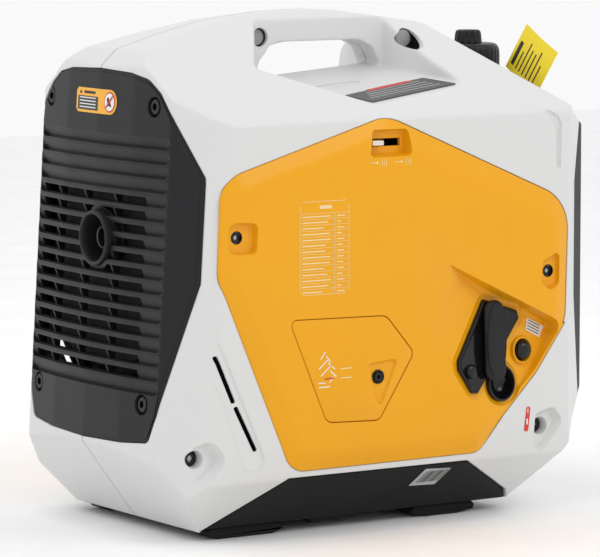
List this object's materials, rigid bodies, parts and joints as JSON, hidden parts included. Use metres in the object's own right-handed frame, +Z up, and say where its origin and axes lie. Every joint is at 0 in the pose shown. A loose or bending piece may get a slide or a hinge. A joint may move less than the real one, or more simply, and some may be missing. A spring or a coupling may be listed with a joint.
{
  "type": "portable inverter generator",
  "caption": "Suitcase-style portable petrol generator: two-part casing with a top handle, side covers, recoil starter, fuel cap, slatted exhaust end and control panel.",
  "frame": {"origin": "on the ground, under the centre of the machine's bounding box", "axes": "+X towards the control panel end, -X the exhaust end, +Z up; -Y is the recoil starter side"},
  "size_m": [0.454, 0.2954, 0.4437],
  "materials": {
    "shell": "satin",
    "yellow_cover": "satin",
    "black_plastic": "satin",
    "gloss_black": "gloss",
    "grey_plastic": "satin",
    "tank_plastic": "matte",
    "red_plastic": "gloss",
    "orange_plastic": "satin",
    "rubber": "matte",
    "cord": "matte",
    "card": "satin",
    "steel": "satin",
    "cast_alloy": "matte",
    "brass": "satin"
  },
  "bodies": {
    "casing": {"ac_socket_1": "gloss_black", "ac_socket_2": "gloss_black", "air_filter_box": "black_plastic", "alternator_stator": "steel", "base_pan": "black_plastic", "carburettor": "cast_alloy", "control_plate": "grey_plastic", "crankcase": "cast_alloy", "cylinder": "cast_alloy", "cylinder_head": "cast_alloy", "dc_socket": "gloss_black", "deck_plate": "grey_plastic", "engine_mount_1": "rubber", "engine_mount_2": "rubber", "engine_mount_3": "rubber", "engine_mount_4": "rubber", "exhaust_ring": "black_plastic", "foot_front_left": "rubber", "foot_front_right": "rubber", "foot_rear_left": "rubber", "foot_rear_right": "rubber", "front_panel": "black_plastic", "fuel_tank": "tank_plastic", "hang_tag": "card", "ignition_coil": "black_plastic", "inverter_module": "cast_alloy", "muffler": "steel", "rear_grille": "black_plastic", "recoil_plate": "gloss_black", "rope_guide": "gloss_black", "shell_left": "shell", "shell_right": "shell", "side_cover_left": "yellow_cover", "side_cover_right": "yellow_cover", "spark_plug": "steel", "spark_plug_cap": "rubber", "starter_housing": "black_plastic", "status_lamps": "red_plastic", "tailpipe": "steel"},
    "fuel_cap": {"fuel_cap": "black_plastic"},
    "vent_knob": {"vent_knob": "black_plastic"},
    "choke_lever": {"choke_lever": "steel"},
    "recoil_pull": {"recoil_grip": "rubber", "starter_rope": "cord"},
    "starter_pulley": {"starter_pulley": "grey_plastic"},
    "crank": {"crankshaft": "steel", "alternator_rotor": "steel", "flywheel_fan": "grey_plastic"},
    "piston": {"piston": "cast_alloy"},
    "door": {"maintenance_door": "yellow_cover"},
    "door_screw": {"door_screw": "steel"},
    "primer_bulb": {"primer_bulb": "rubber"},
    "breaker_button": {"breaker_button": "red_plastic"},
    "eco_rocker": {"eco_rocker": "black_plastic"},
    "run_switch": {"run_switch": "black_plastic"},
    "oil_dipstick": {"oil_dipstick": "orange_plastic"},
    "ground_terminal": {"ground_terminal": "brass"}
  },
  "joints": [
    {"name": "fuel_cap_turn", "type": "hinge", "parent": "casing", "child": "fuel_cap", "pos_m": [0.177, 0, 0.38], "axis": [0, 0, 1], "range_deg": [0, 120]},
    {"name": "vent_knob_turn", "type": "hinge", "parent": "fuel_cap", "child": "vent_knob", "pos_m": [0.177, 0, 0.4088], "axis": [0, 0, 1], "range_deg": [0, 180]},
    {"name": "choke_slide", "type": "slide", "parent": "casing", "child": "choke_lever", "axis": [1, 0, 0], "range_m": [0, 0.02]},
    {"name": "recoil_pull", "type": "slide", "parent": "casing", "child": "recoil_pull", "axis": [0, -1, 0], "range_m": [0, 0.12]},
    {"name": "starter_pulley_turn", "type": "hinge", "parent": "casing", "child": "starter_pulley", "pos_m": [0.1165, 0, 0.161], "axis": [1, 0, 0], "range_deg": [-210, 0]},
    {"name": "crank_turn", "type": "hinge", "parent": "casing", "child": "crank", "pos_m": [0, 0, 0.161], "axis": [1, 0, 0], "continuous": true},
    {"name": "piston_slide", "type": "slide", "parent": "casing", "child": "piston", "axis": [0, 0, 1], "range_m": [-0.016, 0.0175]},
    {"name": "door_swing", "type": "hinge", "parent": "casing", "child": "door", "pos_m": [-0.06, -0.1452, 0.1888], "axis": [-1, 0, 0], "range_deg": [0, 80]},
    {"name": "door_screw_turn", "type": "hinge", "parent": "door", "child": "door_screw", "pos_m": [-0.0175, -0.1437, 0.1345], "axis": [0, -1, 0], "range_deg": [0, 360]},
    {"name": "primer_press", "type": "slide", "parent": "casing", "child": "primer_bulb", "axis": [0, 1, 0], "range_m": [0, 0.004], "stiffness_N_per_m": 800},
    {"name": "breaker_press", "type": "slide", "parent": "casing", "child": "breaker_button", "axis": [-1, 0, 0], "range_m": [0, 0.003], "stiffness_N_per_m": 800},
    {"name": "eco_rocker_tilt", "type": "hinge", "parent": "casing", "child": "eco_rocker", "pos_m": [0.217, 0.044, 0.226], "axis": [0, 1, 0], "range_deg": [-11, 0]},
    {"name": "run_switch_tilt", "type": "hinge", "parent": "casing", "child": "run_switch", "pos_m": [0.217, 0.044, 0.272], "axis": [0, 1, 0], "range_deg": [-11, 0]},
    {"name": "oil_dipstick_turn", "type": "hinge", "parent": "casing", "child": "oil_dipstick", "pos_m": [-0.045, -0.062, 0.096], "axis": [0, -1, 0], "range_deg": [0, 360]},
    {"name": "ground_terminal_turn", "type": "hinge", "parent": "casing", "child": "ground_terminal", "pos_m": [0.222, 0, 0.143], "axis": [1, 0, 0], "range_deg": [0, 360]}
  ],
  "couplings": [
    {"joint": "starter_pulley_turn", "follows": "recoil_pull", "rad_per_m": -30.303}
  ]
}
